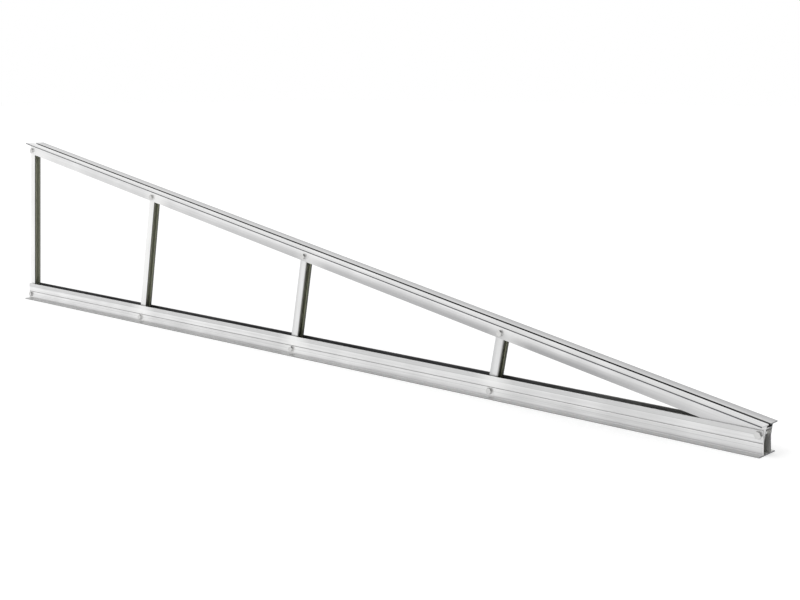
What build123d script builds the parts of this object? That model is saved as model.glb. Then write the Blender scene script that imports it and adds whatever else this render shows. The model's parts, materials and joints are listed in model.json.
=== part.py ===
"""Tilt frame for one row of solar modules on a flat roof, as a ballasted system uses it.

A base rail lies on the roof.  A top rail is pinned inside its low end and rises from there to
the high end, held at its tilt by four posts that stand in both channels.  Every joint is one
M8 bolt, clamped by a washer and a nut at the back.

Frame: millimetres, +Z up, +X along the base rail towards the low end, +Y to the back of the
frame, origin at the middle of the base rail's underside.
"""
import os
from math import cos, radians, sin, tan

from build123d import *

os.makedirs("parts", exist_ok=True)

# ---------------------------------------------------------------- driving dimensions
tilt = 9.8                    # slope of the top rail, degrees
base_length = 2642.0

# base rail: an upright channel on a wide foot
base_height = 50.0
base_width = 33.6             # over its two walls
base_wall = 2.5
foot_width = 65.0
foot_thickness = 2.5
base_fillet = 1.0
guide_height = 24.6           # drill guide groove above the roof
guide_size = 1.6              # side of the square notch, set on its corner
edge_round = 0.4

# top rail: a channel with its mouth down, a bolt slot along its top and a flange each side
top_height = 35.4
top_wall = 2.5
nest_gap = 0.85               # each side, where it lies inside the base rail
flange_width = 65.0
flange_thickness = 2.5
slot_width = 9.0
slot_depth = 4.4              # room for a bolt head under the slot's lips
slot_floor = 2.4
top_fillet = 2.0
arch_fillet = 4.0
top_bolt_line = 24.0          # from the top face down to the line of the bolts
top_overhang = 11.5           # past the pivot at the low end

# pivot, measured on the base rail
pivot_setback = 9.5           # from the base rail's low end
pivot_height = 40.0

# posts: a channel that opens towards the low end, ribbed inside
post_feet = [11.5, 623.0, 1294.5, 1966.0]    # foot bolts, from the base rail's high end
post_leans = [0.0, 7.9, 9.8, 11.7]           # degrees from upright, top towards the low end
post_width = 24.5
post_wall = 2.5
post_gap = 0.65               # each side, inside the top rail
post_end_gap = 1.0            # from a post's low end to the base rail's floor
rib_width = 1.8
rib_height = 0.9
nut_track = 13.4              # free width between a pair of ribs
foot_bolt_height = 15.5

# M8 fasteners
bolt_diameter = 8.0
hole_clearance = 1.0          # on the diameter, in rails and posts
ring_clearance = 0.4          # on the diameter, in washers and spacers
nut_clearance = 0.1           # on the diameter
hex_across = 13.0
head_height = 5.3
nut_height = 6.8
crown_share = 0.95            # flat circle on a head or nut, against its width across flats
crown_angle = 30.0            # of the cone that turns its corners off
tip_bevel = 0.7
washer_diameter = 16.0
washer_thickness = 1.6
spacer_diameter = 14.0
bolt_tail = 3.0               # bolt past its nut
foot_turns = [8.0, 23.0, 41.0, 2.0]          # how far each foot bolt's hexagon is turned
head_turns = [31.0, 14.0, 52.0, 37.0]
pivot_turn = 4.0

# ---------------------------------------------------------------- places worked out
slope = radians(tilt)
down_slope = Vector(cos(slope), 0, -sin(slope))
pivot_x = base_length / 2 - pivot_setback
pivot = Vector(pivot_x, 0, pivot_height)
top_reach = (pivot_x + base_length / 2) / cos(slope)     # brings both rails level at the high end
top_length = top_reach + top_overhang
base_inside = base_width - 2 * base_wall
top_width = base_inside - 2 * nest_gap
top_inside = top_width - 2 * top_wall
post_depth = top_inside - 2 * post_gap
chamber_top = top_bolt_line - flange_thickness
mouth_top = chamber_top - slot_depth - slot_floor
mouth_bottom = top_bolt_line - top_height
bolt_hole = bolt_diameter + hole_clearance
ring_bore = bolt_diameter + ring_clearance
crown_radius = crown_share * hex_across / 2
crown_spread = 1 / tan(radians(crown_angle))
spacer_thickness = (base_inside - post_depth) / 2
foot_points = [(from_high_end - base_length / 2, foot_bolt_height) for from_high_end in post_feet]


def head_point(foot, lean):
    """Where a post that leaves its foot bolt at this lean meets the top rail's line of bolts."""
    foot_x, foot_z = foot
    sideways = tan(radians(lean))
    rise = (pivot_height - foot_z + (pivot_x - foot_x) * tan(slope)) / (1 + sideways * tan(slope))
    return foot_x + rise * sideways, foot_z + rise


head_points = [head_point(foot, lean) for foot, lean in zip(foot_points, post_leans)]


def save(part, name):
    """Names a finished piece and writes it."""
    part.label = name
    export_step(part, f"parts/{name}.step")


# ---------------------------------------------------------------- base rail
with BuildPart() as base_rail:
    with BuildSketch(Plane.YZ.offset(-base_length / 2)) as base_section:
        with Locations((0, foot_thickness / 2)):
            Rectangle(foot_width, foot_thickness)
        wall_middle = (base_width - base_wall) / 2
        with Locations((-wall_middle, base_height / 2), (wall_middle, base_height / 2)):
            Rectangle(base_wall, base_height)
        fillet(base_section.vertices().group_by(Axis.Y)[1].sort_by(Axis.X)[1:-1], base_fillet)
        fillet(base_section.vertices().group_by(Axis.Y)[-1], edge_round)
        with Locations((-base_width / 2, guide_height), (base_width / 2, guide_height)):
            Rectangle(guide_size, guide_size, rotation=45, mode=Mode.SUBTRACT)
    extrude(amount=base_length)
    with BuildSketch(Plane.XZ) as base_holes:
        with Locations(*foot_points, (pivot_x, pivot_height)):
            Circle(bolt_hole / 2)
    extrude(amount=base_width, both=True, mode=Mode.SUBTRACT)
save(base_rail.part, "base_rail")

# ---------------------------------------------------------------- top rail
# Its section is drawn across the rail at the high end, with the line of bolts at height 0.
high_end = Plane(origin=pivot - down_slope * top_reach, x_dir=(0, 1, 0), z_dir=down_slope)
with BuildPart() as top_rail:
    with BuildSketch(high_end) as top_section:
        with Locations((0, top_bolt_line - flange_thickness / 2)):
            Rectangle(flange_width, flange_thickness)
        with Locations((0, top_bolt_line - top_height / 2)):
            Rectangle(top_width, top_height)
        fillet(top_section.vertices().group_by(Axis.Y)[-2].sort_by(Axis.X)[1:3], top_fillet)
        with Locations((0, chamber_top - slot_depth / 2)):
            Rectangle(top_inside, slot_depth, mode=Mode.SUBTRACT)
        with Locations((0, top_bolt_line - flange_thickness / 2)):
            Rectangle(slot_width, flange_thickness, mode=Mode.SUBTRACT)
        with Locations((0, (mouth_top + mouth_bottom) / 2)):
            Rectangle(top_inside, mouth_top - mouth_bottom, mode=Mode.SUBTRACT)
        arch = top_section.vertices().filter_by(
            lambda corner: abs(corner.Y - mouth_top) < 0.1 and abs(abs(corner.X) - top_inside / 2) < 0.1
        )
        fillet(arch, arch_fillet)
    extrude(amount=top_length)
    with BuildSketch(Plane.XZ) as top_holes:
        with Locations(*head_points, (pivot_x, pivot_height)):
            Circle(bolt_hole / 2)
    extrude(amount=top_width, both=True, mode=Mode.SUBTRACT)
save(top_rail.part, "top_rail")


# ---------------------------------------------------------------- posts
def make_post(name, foot, head, lean):
    """One post: a length of channel along its own leaning line, bored for two bolts.

    Its square ends stop short of the base rail's floor and of the arch inside the top rail.
    """
    lean = radians(lean)
    askew = abs(lean - slope)
    below = foot_bolt_height - foot_thickness - post_end_gap
    below = (below - post_width / 2 * sin(lean)) / cos(lean)
    above = (mouth_top - arch_fillet - post_width / 2 * sin(askew)) / cos(askew)
    along = Vector(sin(lean), 0, cos(lean))
    foot_bolt = Vector(foot[0], 0, foot[1])
    head_bolt = Vector(head[0], 0, head[1])
    low_end = Plane(
        origin=foot_bolt - along * below,
        x_dir=(cos(lean), 0, -sin(lean)),
        z_dir=along,
    )
    with BuildPart() as post:
        with BuildSketch(low_end):
            Rectangle(post_width, post_depth)
            with Locations((post_wall / 2, 0)):
                Rectangle(post_width - post_wall, post_depth - 2 * post_wall, mode=Mode.SUBTRACT)
            rib_x = (nut_track + rib_width) / 2
            rib_y = post_depth / 2 - post_wall - rib_height / 2
            with Locations((-rib_x, -rib_y), (rib_x, -rib_y), (-rib_x, rib_y), (rib_x, rib_y)):
                Rectangle(rib_width, rib_height)
        extrude(amount=below + (head_bolt - foot_bolt).length + above)
        with BuildSketch(Plane.XZ):
            with Locations(foot, head):
                Circle(bolt_hole / 2)
        extrude(amount=post_depth, both=True, mode=Mode.SUBTRACT)
    save(post.part, name)


for number, (foot, head, lean) in enumerate(zip(foot_points, head_points, post_leans), start=1):
    make_post(f"post_{number}", foot, head, lean)


# ---------------------------------------------------------------- fasteners
rising = (Align.CENTER, Align.CENTER, Align.MIN)


def across(point, depth):
    """The plane square to a bolt, this far along +Y, facing the back of the frame."""
    return Plane(origin=(point[0], depth, point[1]), x_dir=(-1, 0, 0), z_dir=(0, 1, 0))


def make_bolt(name, point, clamped_width, turn):
    """A hexagon head against the front wall and a shank through to the back."""
    front = -clamped_width / 2
    length = clamped_width + washer_thickness + nut_height + bolt_tail
    with BuildPart() as bolt:
        with BuildSketch(across(point, front - head_height)):
            RegularPolygon(hex_across / 2, 6, major_radius=False, rotation=turn)
        extrude(amount=head_height)
        with Locations(across(point, front - head_height)):
            wide = crown_radius + head_height * crown_spread
            Cone(crown_radius, wide, head_height, align=rising, mode=Mode.INTERSECT)
        with BuildSketch(across(point, front)):
            Circle(bolt_diameter / 2)
        extrude(amount=length)
        chamfer(bolt.faces().sort_by(Axis.Y)[-1].edges(), tip_bevel)
    save(bolt.part, name)


def make_nut(name, point, clamped_width, turn):
    """A hexagon nut behind its washer."""
    seat = across(point, clamped_width / 2 + washer_thickness)
    with BuildPart() as nut:
        with BuildSketch(seat):
            RegularPolygon(hex_across / 2, 6, major_radius=False, rotation=turn)
        extrude(amount=nut_height)
        with Locations(seat):
            wide = crown_radius + nut_height * crown_spread
            Cone(wide, crown_radius, nut_height, align=rising, mode=Mode.INTERSECT)
        with BuildSketch(seat):
            Circle((bolt_diameter + nut_clearance) / 2)
        extrude(amount=nut_height, mode=Mode.SUBTRACT)
    save(nut.part, name)


def make_ring(name, point, start, thickness, diameter):
    """A flat ring on a bolt: a washer, or a spacer beside a post."""
    with BuildPart() as ring:
        with BuildSketch(across(point, start)):
            Circle(diameter / 2)
            Circle(ring_bore / 2, mode=Mode.SUBTRACT)
        extrude(amount=thickness)
    save(ring.part, name)


def make_fixing(name, point, clamped_width, turn):
    """Bolt, washer and nut of one joint."""
    make_bolt(f"{name}_bolt", point, clamped_width, turn)
    make_ring(f"{name}_washer", point, clamped_width / 2, washer_thickness, washer_diameter)
    make_nut(f"{name}_nut", point, clamped_width, turn)


make_fixing("pivot", (pivot_x, pivot_height), base_width, pivot_turn)
for number, (point, turn) in enumerate(zip(foot_points, foot_turns), start=1):
    make_fixing(f"foot_{number}", point, base_width, turn)
    for side, start in (("front", -base_inside / 2), ("rear", post_depth / 2)):
        name = f"foot_{number}_{side}_spacer"
        make_ring(name, point, start, spacer_thickness, spacer_diameter)
for number, (point, turn) in enumerate(zip(head_points, head_turns), start=1):
    make_fixing(f"head_{number}", point, top_width, turn)
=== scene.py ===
import json
from math import atan2, cos, hypot, pi, radians, sin, tan

import bpy
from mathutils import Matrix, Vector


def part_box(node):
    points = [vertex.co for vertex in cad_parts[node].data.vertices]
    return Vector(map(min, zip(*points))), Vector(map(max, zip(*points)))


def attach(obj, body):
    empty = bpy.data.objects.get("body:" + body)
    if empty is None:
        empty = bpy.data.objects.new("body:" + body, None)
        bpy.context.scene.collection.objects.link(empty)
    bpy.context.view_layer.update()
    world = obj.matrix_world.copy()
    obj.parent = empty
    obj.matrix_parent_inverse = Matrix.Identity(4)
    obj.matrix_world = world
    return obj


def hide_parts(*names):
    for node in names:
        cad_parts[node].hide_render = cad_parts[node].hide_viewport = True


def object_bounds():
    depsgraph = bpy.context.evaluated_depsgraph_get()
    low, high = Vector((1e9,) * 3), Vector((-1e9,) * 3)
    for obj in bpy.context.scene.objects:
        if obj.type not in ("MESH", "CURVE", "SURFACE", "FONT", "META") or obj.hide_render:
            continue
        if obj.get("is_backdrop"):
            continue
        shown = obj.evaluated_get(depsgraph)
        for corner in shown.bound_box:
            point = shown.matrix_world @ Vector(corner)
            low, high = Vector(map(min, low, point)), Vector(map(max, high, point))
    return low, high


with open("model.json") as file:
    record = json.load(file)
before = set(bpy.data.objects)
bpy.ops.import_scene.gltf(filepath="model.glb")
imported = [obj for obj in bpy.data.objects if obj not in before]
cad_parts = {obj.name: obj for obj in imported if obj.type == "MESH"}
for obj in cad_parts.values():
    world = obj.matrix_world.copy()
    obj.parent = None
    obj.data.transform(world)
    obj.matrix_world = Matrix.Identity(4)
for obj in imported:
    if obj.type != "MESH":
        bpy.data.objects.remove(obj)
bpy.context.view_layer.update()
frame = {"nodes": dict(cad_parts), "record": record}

# ---------------------------------------------------------------- base rail
# The long channel that lies on the roof, mouth up, with a foot along each side.  It is one
# extrusion of 6060 aluminium, sawn to length and left in mill finish, so fine die lines run along
# it.  A drill guide is grooved into each wall.  Shade is painted into the groove, above the feet
# and inside the channel, and light is painted on as bright patches and a pale open end.
base_wall_middle = 0.0154     # about halfway through a wall, from the rail's middle
base_channel = 0.0146         # half the channel, with a little of the wall's edge
base_floor_start = 0.0010     # the channel's tone sets in within the thickness of its floor
base_floor_full = 0.0020
base_foot_top = 0.0025
base_rim_start = 0.0321       # only the foot's narrow outer faces lie this far out
base_rim_full = 0.0324
base_shade_height = 0.0090    # each wall has painted shade from the foot up to here
base_scribe_height = 0.0160   # a faint die mark, at the height of the foot bolts
base_guide_height = 0.0246
base_guide_half = 0.0010
base_mark_height = 0.0404     # another die mark, and the wall above it is duller
base_mark_blend = 0.0010
base_mark_half = 0.0004
base_mark_soft = 0.0003
base_fade = 0.10              # the drop in tone over each metre, against a spread of 0.8
base_highlight_offset = 0.010     # from a foot bolt to the middle of the painted highlight beside it
base_highlight_half = 0.035
base_highlight_soft = 0.025
base_highlight_strengths = (0.2, 0.75, 0.8, 0.65)
base_paler_shade_start = 0.60        # along the rail, the channel's painted shade turns paler from here to the next
base_paler_shade_full = 1.20
base_lit_mouth_start = 1.24       # and painted nearly white, as light, at its open low end
base_lit_mouth_full = 1.32

die_line_gap = 0.003          # really under 1 mm, drawn as coarse as it needs to show
die_streak_gap = 0.009        # broader lines among them
die_line_squeeze = 0.008      # lengthwise, so that a line runs 125 times its own width
cloud_width = 0.050           # soft clouds of tone
cloud_squeeze = 0.35          # lengthwise, so that a cloud is about 150 mm long
grain_size = 0.0006           # too fine to be seen, it only breaks the reflections up
band_gap = 0.12               # soft bands that lie right across the metal
noise_low = 0.3               # a noise seldom leaves the range from here to the next
noise_high = 0.7
tone_middle = 2.0             # what four noises of about a half add up to
tone_spread = 0.4
mill_smooth = 0.36            # roughness, across the clouds
mill_rough = 0.48
end_facing = 0.7              # a face that looks along the length by more than this is an end
soft_edge = 0.0002            # a plain edge between two tones fades over this, each side


def linear(hex_colour):
    """An sRGB hex colour as linear RGBA."""
    parts = [int(hex_colour[k : k + 2], 16) / 255 for k in (1, 3, 5)]
    return [p / 12.92 if p <= 0.04045 else ((p + 0.055) / 1.055) ** 2.4 for p in parts] + [1.0]


def add(tree, kind, inputs=None, **settings):
    """Adds one node, sets its settings, and fills or links its inputs by name or number.

    A Map Range takes the value as 0, where it starts and ends as 1 and 2, and what it gives
    there, if that isn't 0 and 1, as 3 and 4.  A colour Mix takes how much as 0, and the two
    colours as 6 and 7.
    """
    node = tree.nodes.new(kind)
    for key, value in settings.items():
        setattr(node, key, value)
    for key, value in (inputs or {}).items():
        if isinstance(value, bpy.types.NodeSocket):
            tree.links.new(value, node.inputs[key])
        else:
            node.inputs[key].default_value = value
    return node


def within(tree, value, middle, half, soft=0.0001):
    """1 where the value lies within half of the middle, fading out over a soft width."""
    away = add(tree, "ShaderNodeMath", {0: value, 1: middle}, operation="SUBTRACT").outputs[0]
    away = add(tree, "ShaderNodeMath", {0: away}, operation="ABSOLUTE").outputs[0]
    return add(tree, "ShaderNodeMapRange", {0: away, 1: half + soft, 2: half - soft}).outputs[0]


class MillFinish:
    """Extruded 6060 aluminium as it leaves the die: pale, soft in its reflections, lined lengthwise.

    The turn about Y brings the extrusion's length onto X.  Zones of other colours lie over it.
    """

    def __init__(self, name, turn, origin, dull, bright, fade=0.0):
        self.material = bpy.data.materials.new(name)
        self.material.use_nodes = True
        self.tree = tree = self.material.node_tree
        self.surface = surface = tree.nodes["Principled BSDF"]
        self.turn = turn
        coordinates = add(tree, "ShaderNodeTexCoord").outputs
        self.normal = coordinates["Normal"]
        place = add(tree, "ShaderNodeMapping", {0: coordinates["Object"], 2: (0, turn, 0)}).outputs[0]
        place = add(tree, "ShaderNodeVectorMath", {0: place, 1: origin}, operation="SUBTRACT").outputs[0]
        self.along, self.across, self.height = add(tree, "ShaderNodeSeparateXYZ", {0: place}).outputs
        self.side = add(tree, "ShaderNodeMath", {0: self.across}, operation="ABSOLUTE").outputs[0]

        drawn = add(tree, "ShaderNodeMapping", {0: place, 3: (die_line_squeeze, 1, 1)}).outputs[0]
        lines = add(
            tree, "ShaderNodeTexNoise", {"Vector": drawn, "Scale": 1 / die_line_gap, "Detail": 2.0}
        ).outputs[0]
        streaks = add(
            tree, "ShaderNodeTexNoise", {"Vector": drawn, "Scale": 1 / die_streak_gap, "Detail": 2.0}
        ).outputs[0]
        spread = add(tree, "ShaderNodeMapping", {0: place, 3: (cloud_squeeze, 1, 1)}).outputs[0]
        clouds = add(
            tree, "ShaderNodeTexNoise", {"Vector": spread, "Scale": 1 / cloud_width, "Detail": 4.0}
        ).outputs[0]
        bands = add(
            tree,
            "ShaderNodeTexNoise",
            {"W": self.along, "Scale": 1 / band_gap, "Detail": 1.0},
            noise_dimensions="1D",
        ).outputs[0]
        total = lines
        for noise in (streaks, clouds, bands):
            total = add(tree, "ShaderNodeMath", {0: total, 1: noise}, operation="ADD").outputs[0]
        # The whole length dulls a little from the high end to the low end.
        worn = add(
            tree, "ShaderNodeMath", {0: self.along, 1: -fade, 2: total}, operation="MULTIPLY_ADD"
        ).outputs[0]
        tone = add(
            tree,
            "ShaderNodeMapRange",
            {0: worn, 1: tone_middle - tone_spread, 2: tone_middle + tone_spread},
        ).outputs[0]
        self.colour = add(
            tree, "ShaderNodeMix", {0: tone, 6: linear(dull), 7: linear(bright)}, data_type="RGBA"
        ).outputs[2]

        surface.inputs["Metallic"].default_value = 1.0
        rough = add(
            tree,
            "ShaderNodeMapRange",
            {0: clouds, 1: noise_low, 2: noise_high, 3: mill_smooth, 4: mill_rough},
        ).outputs[0]
        tree.links.new(rough, surface.inputs["Roughness"])
        grain = add(
            tree, "ShaderNodeTexNoise", {"Vector": place, "Scale": 1 / grain_size, "Detail": 2.0}
        ).outputs[0]
        relief = add(tree, "ShaderNodeMath", {0: lines, 1: grain}, operation="ADD").outputs[0]
        bump = add(tree, "ShaderNodeBump", {"Strength": 0.25, "Distance": 0.00004, "Height": relief})
        tree.links.new(bump.outputs[0], surface.inputs["Normal"])

    def sawn_ends(self):
        """1 on the two ends, which look along the length, and 0 on every other face."""
        tree = self.tree
        facing = add(tree, "ShaderNodeMapping", {0: self.normal, 2: (0, self.turn, 0)}).outputs[0]
        endwise = add(tree, "ShaderNodeSeparateXYZ", {0: facing}).outputs[0]
        endwise = add(tree, "ShaderNodeMath", {0: endwise}, operation="ABSOLUTE").outputs[0]
        return add(tree, "ShaderNodeMath", {0: endwise, 1: end_facing}, operation="GREATER_THAN").outputs[0]

    def zone(self, hex_colour, *masks, strength=1.0):
        """Lays a colour over the metal where every mask is 1."""
        cover = strength
        for mask in masks:
            cover = add(self.tree, "ShaderNodeMath", {0: cover, 1: mask}, operation="MULTIPLY").outputs[0]
        self.colour = add(
            self.tree, "ShaderNodeMix", {0: cover, 6: self.colour, 7: linear(hex_colour)}, data_type="RGBA"
        ).outputs[2]

    def finish(self, node):
        """Puts the material on a CAD node."""
        self.tree.links.new(self.colour, self.surface.inputs["Base Color"])
        frame["nodes"][node].data.materials[0] = self.material


def bolt_point(name):
    """The middle of a bolt, seen along its length."""
    low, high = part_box(name)
    return (low[0] + high[0]) / 2, (low[2] + high[2]) / 2


rail = MillFinish("mill_finish_aluminium_base_rail", 0.0, (0, 0, 0), "#d4d4d4", "#eeeeee", base_fade)
tree = rail.tree
outside = add(
    tree,
    "ShaderNodeMapRange",
    {0: rail.side, 1: base_wall_middle - soft_edge, 2: base_wall_middle + soft_edge},
).outputs[0]
# Each wall is duller above a faint die mark near its top.
upper = add(
    tree,
    "ShaderNodeMapRange",
    {0: rail.height, 1: base_mark_height - base_mark_blend, 2: base_mark_height},
).outputs[0]
rail.zone("#c5c5c5", upper, outside, strength=0.7)
mark = within(tree, rail.height, base_mark_height, base_mark_half, base_mark_soft)
rail.zone("#a8a8a8", mark, outside, strength=0.5)
# Painted highlights: the walls are brighter beside each foot bolt.
for number, strength in enumerate(base_highlight_strengths, start=1):
    highlight_x = bolt_point(f"foot_{number}_washer")[0] + base_highlight_offset
    painted_highlight = within(tree, rail.along, highlight_x, base_highlight_half, base_highlight_soft)
    rail.zone("#f4f4f3", painted_highlight, outside, strength=strength)
# Painted shade darkens them just above the foot, and the foot's own edges darker still.
foot_shade = add(
    tree,
    "ShaderNodeMapRange",
    {0: rail.height, 1: base_shade_height, 2: base_foot_top},
    interpolation_type="SMOOTHSTEP",
).outputs[0]
rail.zone("#b2b2b2", foot_shade, outside, strength=0.75)
foot_edge_shade = add(tree, "ShaderNodeMapRange", {0: rail.side, 1: base_rim_start, 2: base_rim_full}).outputs[0]
rail.zone("#959595", foot_edge_shade, strength=0.8)
scribe = within(tree, rail.height, base_scribe_height, base_mark_half, base_mark_soft)
rail.zone("#b5b5b5", scribe, outside, strength=0.6)
# Painted shade darkens the drill guide's groove.
guide_shade = within(tree, rail.height, base_guide_height, base_guide_half, soft_edge)
rail.zone("#b4b4b4", guide_shade, outside)
above_foot = add(
    tree, "ShaderNodeMapRange", {0: rail.height, 1: base_floor_start, 2: base_floor_full}
).outputs[0]
# Painted shade darkens the inside of the channel.
channel = (within(tree, rail.side, 0.0, base_channel), above_foot)
rail.zone("#7c7c7e", *channel)
# Painted light makes the channel paler towards the open low end.
paler_shade = add(tree, "ShaderNodeMapRange", {0: rail.along, 1: base_paler_shade_start, 2: base_paler_shade_full}).outputs[0]
rail.zone("#aeaeac", *channel, paler_shade)
lit_mouth = add(tree, "ShaderNodeMapRange", {0: rail.along, 1: base_lit_mouth_start, 2: base_lit_mouth_full}).outputs[0]
rail.zone("#efefed", *channel, lit_mouth)
# Each sawn end is painted bright on its front half, as lit, and painted grey, as shade, on its
# rear half and across the foot.
sawn = rail.sawn_ends()
rail.zone("#f1f1f0", sawn)
rear = add(tree, "ShaderNodeMath", {0: rail.across, 1: 0.0}, operation="GREATER_THAN").outputs[0]
rail.zone("#77787a", sawn, rear)
in_foot = within(tree, rail.height, 0.0, base_foot_top)
rail.zone("#77787a", sawn, in_foot)
rail.finish("base_rail")

# ---------------------------------------------------------------- posts
# Four short lengths of a smaller channel, extruded in the same aluminium and bolted between the
# two rails with the open side towards the low end.  Each has a tone of its own.  Shade is painted
# towards the open edges and inside, and the ribs inside are painted paler than the web, as light.
post_front = -0.0098          # just inside the front flange's face, from the post's middle
post_dull_start = -0.0020     # from the line of bolts, the tone changes from here to the next
post_dull_full = 0.0120
post_open_edge = -0.0125      # just past the open edges of the flanges
post_strip_start = -0.0120    # only the narrow end faces of the flanges lie past here
post_strip_full = -0.0122
post_channel = 0.0080         # half the space between the flanges, with a little of their edges
post_hollow_start = 0.0102    # the inside reaches the web's inner face
post_hollow_full = 0.0099
post_rib_reach = 0.0072       # the ribs come nearer to the middle than this
post_rib_start = 0.0094       # and end short of the web
post_rib_full = 0.0091
# From the high end, each post's dull and bright tones, how dull it grows towards its web, where its
# painted shade starts towards the open edge, and what tone that shade reaches there.
post_finishes = (
    ("#e9e9e8", "#f6f6f5", 0.0, -0.0098, "#2e2e2c"),
    ("#e6e6e5", "#f2f2f1", 0.0, -0.0098, "#2e2e2c"),
    ("#dcdcdb", "#eaeaea", 0.6, -0.0065, "#858583"),
    ("#d5d5d5", "#e2e2e2", 0.8, -0.0065, "#858583"),
)

for number, (dull, bright, web_dullness, edge_shade_start, edge_shade_tone) in enumerate(post_finishes, start=1):
    foot_x, foot_z = bolt_point(f"foot_{number}_washer")
    head_x, head_z = bolt_point(f"head_{number}_washer")
    lean = atan2(head_x - foot_x, head_z - foot_z)
    bolt_line = foot_z * sin(lean) - foot_x * cos(lean)
    name = f"mill_finish_aluminium_post_{number}"
    post = MillFinish(name, pi / 2 - lean, (0, 0, bolt_line), dull, bright)
    tree = post.tree
    # Only the front flange is so bright.  The web and the rear flange are as grey as the rails.
    behind_front = add(
        tree, "ShaderNodeMapRange", {0: post.across, 1: post_front - soft_edge, 2: post_front + soft_edge}
    ).outputs[0]
    post.zone("#cbcbcb", behind_front, strength=0.85)
    toward_web = add(
        tree,
        "ShaderNodeMapRange",
        {0: post.height, 1: post_dull_start, 2: post_dull_full},
        interpolation_type="SMOOTHSTEP",
    ).outputs[0]
    post.zone("#c6c7c8", toward_web, strength=web_dullness)
    # Painted shade darkens the flanges towards their open edges, and the end strips are painted dark.
    open_edge_shade = add(
        tree,
        "ShaderNodeMapRange",
        {0: post.height, 1: edge_shade_start, 2: post_open_edge},
        interpolation_type="SMOOTHSTEP",
    ).outputs[0]
    post.zone(edge_shade_tone, open_edge_shade, strength=0.95)
    strip = add(
        tree, "ShaderNodeMapRange", {0: post.height, 1: post_strip_start, 2: post_strip_full}
    ).outputs[0]
    post.zone("#484946", strip)
    # Painted shade greys the inside of the channel, and painted light makes the ribs paler than the web.
    hollow = within(tree, post.side, 0.0, post_channel)
    to_web = add(
        tree, "ShaderNodeMapRange", {0: post.height, 1: post_hollow_start, 2: post_hollow_full}
    ).outputs[0]
    post.zone("#b4b6ac", hollow, to_web)
    ribs = within(tree, post.side, 0.0, post_rib_reach)
    before_web = add(
        tree, "ShaderNodeMapRange", {0: post.height, 1: post_rib_start, 2: post_rib_full}
    ).outputs[0]
    post.zone("#fbfce6", ribs, before_web)
    post.finish(f"post_{number}")

# ---------------------------------------------------------------- top rail
# The sloping rail that carries the modules: a channel with its mouth down, a flange each side and
# a bolt slot along the top.  It is the same aluminium in mill finish.  Shade is painted dark on the
# flange edges, down the walls and inside, nearly black in the slot, and light as bright patches.
top_skin = 0.0003             # a point this near to the top face counts as on it
top_fade = 0.15               # the drop in tone over each metre, against a spread of 0.8
top_tone_reach = 1.3          # changes of tone along the rail run out this far from its middle
top_rear_start = 0.004        # behind the slot, the top face dulls from here to the next
top_rear_full = 0.030
top_rim_start = -0.019        # and in front of it, from here to the next
top_rim_full = -0.026
top_wall_start = -0.012       # painted shade darkens each wall from here down to the next
top_wall_full = -0.030
top_shade_full = 0.7          # along the rail, that shade is full from here to the next
top_shade_ease = 0.9
top_highlight_offset = 0.025      # from a head bolt to the middle of the painted highlight beside it
top_highlight_half = 0.035
top_highlight_soft = 0.030
top_highlight_strengths = (0.5, 0.8, 0.45, 0.45)
top_edge_start = 0.0320       # only the narrow edges of the flanges lie this far out
top_edge_full = 0.0323
top_channel = 0.0112          # half the channel, with a little of the wall's edge
top_inside_start = -0.0022    # the inside's tone sets in within the thickness of the top
top_inside_full = -0.0024
top_lit_mouth_start = 1.20        # along the rail, where the inside is painted pale, as light, at the low end
top_lit_mouth_full = 1.28
top_chamber_floor = -0.0070   # about the floor of the bolt slot's chamber
top_slot_half = 0.0046        # with a little of the lips' edges
top_slot_dark = 0.9           # along the rail, the slot's painted shade is darkest from here to the mouth
top_wall_front = -0.0136      # just before the front wall's face
top_floor_start = -0.0085     # only the walls lie lower than the chamber's floor
top_floor_full = -0.0095
top_half_blend = 0.001
module_face = next(mount for mount in frame["record"]["mounts"] if mount["name"] == "module_face")
tilt = atan2(module_face["axis"][0], module_face["axis"][2])
face_x, _, face_z = module_face["pos_m"]
top_face = face_z * cos(tilt) + face_x * sin(tilt)

top = MillFinish("mill_finish_aluminium_top_rail", -tilt, (0, 0, top_face), "#d8d8d8", "#eeeeee", top_fade)
tree = top.tree
upper = within(tree, top.height, 0.0, top_skin)
# Painted shade: behind the slot the top face darkens towards its edge, and more so towards the low end.
rearward = add(
    tree, "ShaderNodeMapRange", {0: top.across, 1: top_rear_start, 2: top_rear_full, 3: 0.25, 4: 1.0}
).outputs[0]
behind = add(tree, "ShaderNodeMath", {0: top.across, 1: 0.0}, operation="GREATER_THAN").outputs[0]
rear_shade_along = add(
    tree, "ShaderNodeMapRange", {0: top.along, 1: -top_tone_reach, 2: top_tone_reach, 3: 0.72, 4: 1.0}
).outputs[0]
top.zone("#b0b0b1", rearward, behind, rear_shade_along, upper)
# Painted light: in front of the slot it is brighter towards the high end.  It is a little duller
# near its edge.
front = add(tree, "ShaderNodeMath", {0: 1.0, 1: behind}, operation="SUBTRACT").outputs[0]
front_light_along = add(
    tree, "ShaderNodeMapRange", {0: top.along, 1: -top_tone_reach, 2: top_tone_reach, 3: 0.35, 4: 0.0}
).outputs[0]
top.zone("#f2f2f2", front, upper, front_light_along)
rim = add(tree, "ShaderNodeMapRange", {0: top.across, 1: top_rim_start, 2: top_rim_full}).outputs[0]
top.zone("#d0d0d0", rim, upper, strength=0.5)
# Painted shade darkens each wall towards its lower edge, and more so towards the low end.
wall_shade = add(
    tree,
    "ShaderNodeMapRange",
    {0: top.height, 1: top_wall_start, 2: top_wall_full},
    interpolation_type="SMOOTHSTEP",
).outputs[0]
wall_shade_gain = add(
    tree, "ShaderNodeMapRange", {0: top.along, 1: -top_tone_reach, 2: top_shade_full, 3: 0.05, 4: 1.0}
).outputs[0]
eased = add(
    tree, "ShaderNodeMapRange", {0: top.along, 1: top_shade_ease, 2: top_tone_reach, 3: 1.0, 4: 0.2}
).outputs[0]
top.zone("#ababac", wall_shade, wall_shade_gain, eased)
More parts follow.
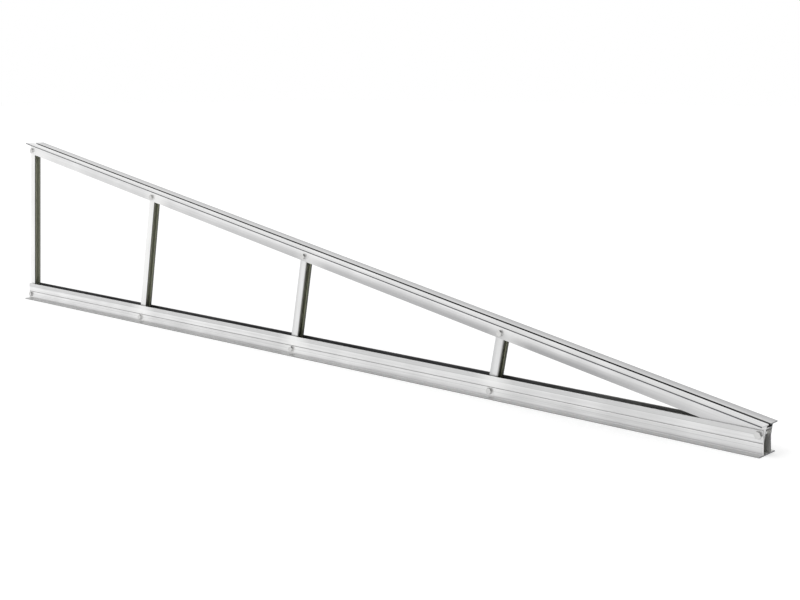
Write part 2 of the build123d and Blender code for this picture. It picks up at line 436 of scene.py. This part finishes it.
# Painted highlights: the walls are brighter beside each head bolt.
walls = add(tree, "ShaderNodeMath", {0: 1.0, 1: upper}, operation="SUBTRACT").outputs[0]
for number, strength in enumerate(top_highlight_strengths, start=1):
    head_x, head_z = bolt_point(f"head_{number}_washer")
    highlight_along = head_x * cos(tilt) - head_z * sin(tilt) + top_highlight_offset
    painted_highlight = within(tree, top.along, highlight_along, top_highlight_half, top_highlight_soft)
    top.zone("#f4f4f3", painted_highlight, walls, strength=strength)
# Painted shade darkens the narrow edges of the flanges.
flange_edge_shade = add(tree, "ShaderNodeMapRange", {0: top.side, 1: top_edge_start, 2: top_edge_full}).outputs[0]
top.zone("#5e5f62", flange_edge_shade)
below_face = add(
    tree, "ShaderNodeMapRange", {0: top.height, 1: top_inside_start, 2: top_inside_full}
).outputs[0]
# Painted shade greys the inside of the channel, and painted light turns it pale at the low end.
channel = (within(tree, top.side, 0.0, top_channel), below_face)
top.zone("#b4b4b4", *channel)
lit_mouth = add(tree, "ShaderNodeMapRange", {0: top.along, 1: top_lit_mouth_start, 2: top_lit_mouth_full}).outputs[0]
top.zone("#f0f0ee", *channel, lit_mouth)
# Painted shade makes the slot and its chamber dark, paler towards the high end, and painted light
# makes them paler at the low end's mouth.
above_floor = add(
    tree,
    "ShaderNodeMapRange",
    {0: top.height, 1: top_chamber_floor - soft_edge, 2: top_chamber_floor + soft_edge},
).outputs[0]
top.zone("#3e3f41", *channel, above_floor)
slot = (within(tree, top.side, 0.0, top_slot_half), above_floor)
top.zone("#3e3e3f", *slot)
paler_shade = add(
    tree, "ShaderNodeMapRange", {0: top.along, 1: -top_tone_reach, 2: top_slot_dark, 3: 0.9, 4: 0.0}
).outputs[0]
top.zone("#848485", *slot, paler_shade)
top.zone("#a8a8a8", *slot, lit_mouth)
# Each sawn end is painted pale, as lit, and dark grey, as shade, on its rear half and on the walls
# below the chamber.
sawn = top.sawn_ends()
top.zone("#c0c0c0", sawn)
behind_front = add(
    tree,
    "ShaderNodeMapRange",
    {0: top.across, 1: top_wall_front - soft_edge, 2: top_wall_front + soft_edge},
).outputs[0]
on_walls = add(
    tree, "ShaderNodeMapRange", {0: top.height, 1: top_floor_start, 2: top_floor_full}
).outputs[0]
rear_half = add(tree, "ShaderNodeMapRange", {0: top.across, 1: 0.0, 2: top_half_blend}).outputs[0]
either = add(tree, "ShaderNodeMath", {0: on_walls, 1: rear_half}, operation="MAXIMUM").outputs[0]
top.zone("#707173", sawn, behind_front, either)
top.finish("top_rail")

# ---------------------------------------------------------------- spacers
# Plain rings turned from aluminium bar.  One fills the space each side of a post's foot, inside
# the base rail, so that the bolt can be drawn tight.  The lathe leaves them finely ringed.
tool_mark_gap = 0.0004
tool_mark_squeeze = 0.1       # round the ring, where a mark runs ten times as far
turned = bpy.data.materials.new("turned_aluminium_spacer")
turned.use_nodes = True
tree = turned.node_tree
place = add(tree, "ShaderNodeTexCoord").outputs["Object"]
marks = add(tree, "ShaderNodeMapping", {0: place, 3: (tool_mark_squeeze, 1, tool_mark_squeeze)}).outputs[0]
marks = add(tree, "ShaderNodeTexNoise", {"Vector": marks, "Scale": 1 / tool_mark_gap}).outputs[0]
colour = add(
    tree, "ShaderNodeMix", {0: marks, 6: linear("#b4b5b6"), 7: linear("#d4d5d6")}, data_type="RGBA"
).outputs[2]
surface = tree.nodes["Principled BSDF"]
tree.links.new(colour, surface.inputs["Base Color"])
surface.inputs["Metallic"].default_value = 1.0
surface.inputs["Roughness"].default_value = 0.33
bump = add(tree, "ShaderNodeBump", {"Strength": 0.3, "Distance": 0.00003, "Height": marks})
tree.links.new(bump.outputs[0], surface.inputs["Normal"])
for number in range(1, 5):
    for side in ("front", "rear"):
        frame["nodes"][f"foot_{number}_{side}_spacer"].data.materials[0] = turned

# ---------------------------------------------------------------- nuts and washers
# M8 nuts and plain washers in A2 stainless steel.  The nuts are cold formed and the washers
# punched from sheet, so both are smooth, a little warmer in tone than the rails and finely grained.
tumble_mark_size = 0.0012     # really under 0.5 mm, drawn as coarse as it needs to show
nut_smooth = 0.22
nut_rough = 0.36
stainless = bpy.data.materials.new("a2_stainless_steel_nut_and_washer")
stainless.use_nodes = True
tree = stainless.node_tree
place = add(tree, "ShaderNodeTexCoord").outputs["Object"]
tumbled = add(
    tree, "ShaderNodeTexNoise", {"Vector": place, "Scale": 1 / tumble_mark_size, "Detail": 4.0}
).outputs[0]
colour = add(
    tree, "ShaderNodeMix", {0: tumbled, 6: linear("#a3a29e"), 7: linear("#cfcec9")}, data_type="RGBA"
).outputs[2]
surface = tree.nodes["Principled BSDF"]
tree.links.new(colour, surface.inputs["Base Color"])
surface.inputs["Metallic"].default_value = 1.0
rough = add(
    tree, "ShaderNodeMapRange", {0: tumbled, 1: noise_low, 2: noise_high, 3: nut_smooth, 4: nut_rough}
).outputs[0]
tree.links.new(rough, surface.inputs["Roughness"])
bump = add(tree, "ShaderNodeBump", {"Strength": 0.2, "Distance": 0.00003, "Height": tumbled})
tree.links.new(bump.outputs[0], surface.inputs["Normal"])
joints = ["pivot"] + [f"{end}_{number}" for end in ("foot", "head") for number in range(1, 5)]
for joint in joints:
    for kind in ("washer", "nut"):
        frame["nodes"][f"{joint}_{kind}"].data.materials[0] = stainless

# ---------------------------------------------------------------- bolts
# M8 hexagon bolts in A2 stainless steel, one through every joint.  The head is cold formed, its
# crown turned to a flat circle with fine rings, and the thread is rolled onto the shank.  The
# sides of the hexagon are plain, and painted darker, as shade, where they face up.
head_across = 0.0130
head_height = 0.0053
crown_radius = 0.95 * head_across / 2
crown_slope = tan(radians(30))
shank_radius = 0.0040
thread_pitch = 0.00125
thread_depth = 0.0007
thread_length = 0.0220
thread_gap = 0.0001           # from the plain shank to the thread's first ring
thread_steps = 8              # rings for each turn of the thread
tip_bevel = 0.0007
bolt_sides = 72               # a multiple of six, so that the hexagon keeps its corners
crisp_angle = radians(28)     # an edge that turns by more than this stays sharp
crown_ring_gap = 0.0008       # really 0.25 mm, drawn as coarse as it needs to show
head_grain_size = 0.001
flank_start = 0.7             # a face is a flank where it looks this little along the bolt
flank_full = 0.2
upward_full = 0.5

cold_formed = bpy.data.materials.new("a2_stainless_steel_bolt")
cold_formed.use_nodes = True
tree = cold_formed.node_tree
coordinates = add(tree, "ShaderNodeTexCoord").outputs
place = coordinates["Object"]
radius = add(tree, "ShaderNodeVectorMath", {0: place, 1: (1, 0, 1)}, operation="MULTIPLY").outputs[0]
radius = add(tree, "ShaderNodeVectorMath", {0: radius}, operation="LENGTH").outputs[1]
rings = add(
    tree, "ShaderNodeMath", {0: radius, 1: 2 * pi / crown_ring_gap}, operation="MULTIPLY"
).outputs[0]
rings = add(tree, "ShaderNodeMath", {0: rings}, operation="SINE").outputs[0]
grain = add(
    tree, "ShaderNodeTexNoise", {"Vector": place, "Scale": 1 / head_grain_size, "Detail": 3.0}
).outputs[0]
colour = add(
    tree, "ShaderNodeMix", {0: grain, 6: linear("#c6c6c5"), 7: linear("#d8d8d7")}, data_type="RGBA"
).outputs[2]
flank = add(tree, "ShaderNodeSeparateXYZ", {0: coordinates["Normal"]}).outputs[1]
flank = add(tree, "ShaderNodeMath", {0: flank}, operation="ABSOLUTE").outputs[0]
flank = add(tree, "ShaderNodeMapRange", {0: flank, 1: flank_start, 2: flank_full}).outputs[0]
colour = add(
    tree, "ShaderNodeMix", {0: flank, 6: colour, 7: linear("#d2d2d1")}, data_type="RGBA"
).outputs[2]
# Painted shade darkens the flanks that face up.
upward = add(tree, "ShaderNodeNewGeometry").outputs["Normal"]
upward = add(tree, "ShaderNodeSeparateXYZ", {0: upward}).outputs[2]
upward = add(tree, "ShaderNodeMapRange", {0: upward, 1: 0.0, 2: upward_full}).outputs[0]
shaded_flanks = add(tree, "ShaderNodeMath", {0: flank, 1: upward}, operation="MULTIPLY").outputs[0]
colour = add(
    tree, "ShaderNodeMix", {0: shaded_flanks, 6: colour, 7: linear("#8a8988")}, data_type="RGBA"
).outputs[2]
surface = tree.nodes["Principled BSDF"]
tree.links.new(colour, surface.inputs["Base Color"])
surface.inputs["Metallic"].default_value = 1.0
surface.inputs["Roughness"].default_value = 0.3
bump = add(tree, "ShaderNodeBump", {"Strength": 0.25, "Distance": 0.00004, "Height": rings})
tree.links.new(bump.outputs[0], surface.inputs["Normal"])


def hexagon_radius(angle):
    """How far the hexagon's side lies from its middle at this angle from a corner."""
    from_flat = (angle % (pi / 3)) - pi / 6
    return head_across / 2 / cos(from_flat)


def bolt_ring(radius_at, depth_at):
    """One ring of points about Y, each with its own radius and depth."""
    angles = [2 * pi * side / bolt_sides for side in range(bolt_sides)]
    return [(radius_at(a) * cos(a), depth_at(a), radius_at(a) * sin(a)) for a in angles]


def bolt_mesh(name, length):
    """The whole skin of a bolt, from the middle of its crown to the middle of its tip."""

    def crown_depth(angle):
        return -head_height + (hexagon_radius(angle) - crown_radius) * crown_slope

    def thread_radius(depth):
        def radius(angle):
            turn = (depth / thread_pitch + angle / (2 * pi)) % 1
            groove = thread_depth * (1 - abs(2 * turn - 1))
            return min(shank_radius - groove, shank_radius - tip_bevel + (length - depth))

        return radius

    rings = [
        bolt_ring(lambda a: crown_radius / 2, lambda a: -head_height),
        bolt_ring(lambda a: crown_radius, lambda a: -head_height),
        bolt_ring(hexagon_radius, crown_depth),
        bolt_ring(hexagon_radius, lambda a: 0.0),
        bolt_ring(lambda a: shank_radius, lambda a: 0.0),
        bolt_ring(lambda a: shank_radius, lambda a: length - thread_length),
    ]
    step = thread_pitch / thread_steps
    for index in range(round(thread_length / step) + 1):
        depth = min(length - thread_length + thread_gap + index * step, length)
        rings.append(bolt_ring(thread_radius(depth), lambda a, depth=depth: depth))
    points = [point for ring in rings for point in ring]
    faces = []
    for ring in range(len(rings) - 1):
        for side in range(bolt_sides):
            here = ring * bolt_sides + side
            beside = ring * bolt_sides + (side + 1) % bolt_sides
            faces.append((here, here + bolt_sides, beside + bolt_sides, beside))
    crown_middle, tip_middle = len(points), len(points) + 1
    points += [(0, -head_height, 0), (0, length, 0)]
    last = (len(rings) - 1) * bolt_sides
    for side in range(bolt_sides):
        beside = (side + 1) % bolt_sides
        faces.append((crown_middle, side, beside))
        faces.append((tip_middle, last + beside, last + side))
    mesh = bpy.data.meshes.new(name)
    mesh.from_pydata(points, [], faces)
    mesh.shade_smooth()
    mesh.set_sharp_from_angle(angle=crisp_angle)
    mesh.materials.append(cold_formed)
    return mesh


for joint in joints:
    name = f"{joint}_threaded_bolt"
    x, z = bolt_point(f"{joint}_washer")
    low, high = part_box(f"{joint}_bolt")
    # A corner of the CAD hexagon lies furthest from the middle, and says how the bolt is turned.
    vertices = frame["nodes"][f"{joint}_bolt"].data.vertices
    corner = max(vertices, key=lambda vertex: hypot(vertex.co.x - x, vertex.co.z - z)).co
    bolt = bpy.data.objects.new(name, bolt_mesh(name, high[1] - low[1] - head_height))
    bpy.context.scene.collection.objects.link(bolt)
    bolt.location = (x, low[1] + head_height, z)
    bolt.rotation_euler = (0, -atan2(corner.z - z, corner.x - x), 0)
    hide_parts(f"{joint}_bolt")
    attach(bolt, "root")

# ---------------------------------------------------------------- floor
# A studio floor in plain matt white paint, laid flat under the frame.  It is seen as white, by eye
# and in the metal, except where the frame takes light from it.
floor_half = 30.0
floor_fill = 0.36             # brings the lit floor up to white
corners = [(-floor_half, -floor_half, 0), (floor_half, -floor_half, 0)]
corners += [(floor_half, floor_half, 0), (-floor_half, floor_half, 0)]
floor_mesh = bpy.data.meshes.new("floor")
floor_mesh.from_pydata(corners, [], [(0, 1, 2, 3)])
floor = bpy.data.objects.new("floor", floor_mesh)
bpy.context.scene.collection.objects.link(floor)
floor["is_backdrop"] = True
paint = bpy.data.materials.new("white_studio_paint")
paint.use_nodes = True
tree = paint.node_tree
tree.nodes.clear()


def seen(tree):
    """1 for what the eye sees straight, in metal or through glass, and 0 for scattered light."""
    path = add(tree, "ShaderNodeLightPath").outputs
    looked = path["Is Camera Ray"]
    for kind in ("Is Glossy Ray", "Is Transmission Ray"):
        looked = add(tree, "ShaderNodeMath", {0: looked, 1: path[kind]}, operation="MAXIMUM").outputs[0]
    return looked


matt = add(tree, "ShaderNodeBsdfDiffuse", {0: linear("#e6e6e6")}).outputs[0]
fill = add(tree, "ShaderNodeMath", {0: seen(tree), 1: floor_fill}, operation="MULTIPLY").outputs[0]
glow = add(tree, "ShaderNodeEmission", {0: (1, 1, 1, 1), 1: fill}).outputs[0]
lit = add(tree, "ShaderNodeAddShader", {0: matt, 1: glow}).outputs[0]
add(tree, "ShaderNodeOutputMaterial", {0: lit})
floor_mesh.materials.append(paint)

# ---------------------------------------------------------------- light and camera
# A soft white studio: even light from all round, a little stronger from above, and one broad lamp
# at the front left for a faint shadow.  The camera is level, to the front and past the low end,
# and its shift brings the whole frame into view.
level_around = 0.70
level_above = 0.85
world = bpy.data.worlds.new("studio")
bpy.context.scene.world = world
world.use_nodes = True
tree = world.node_tree
tree.nodes.clear()
direction = add(tree, "ShaderNodeTexCoord").outputs["Generated"]
height = add(tree, "ShaderNodeSeparateXYZ", {0: direction}).outputs[2]
level = add(
    tree, "ShaderNodeMapRange", {0: height, 1: 0.0, 2: 1.0, 3: level_around, 4: level_above}
).outputs[0]
level = add(tree, "ShaderNodeMix", {0: seen(tree), 2: level, 3: 1.0}).outputs[0]
studio = add(tree, "ShaderNodeBackground", {0: (1, 1, 1, 1), 1: level}).outputs[0]
add(tree, "ShaderNodeOutputWorld", {0: studio})

lamp_data = bpy.data.lights.new("broad_lamp", "SUN")
lamp_data.energy = 0.5
lamp_data.angle = radians(40)
lamp = bpy.data.objects.new("broad_lamp", lamp_data)
lamp.rotation_euler = (radians(38), 0, radians(-35))
bpy.context.scene.collection.objects.link(lamp)

camera_data = bpy.data.cameras.new("camera")
camera_data.lens = 57.24
camera_data.shift_x = -0.0006
camera_data.shift_y = -0.2744
camera = bpy.data.objects.new("camera", camera_data)
camera.location = (2.4748, -2.2960, 0.7269)
camera.rotation_euler = (radians(90), 0, radians(42.758))
bpy.context.scene.collection.objects.link(camera)
bpy.context.scene.camera = camera
bpy.context.scene.view_settings.view_transform = "Standard"

low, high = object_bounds()
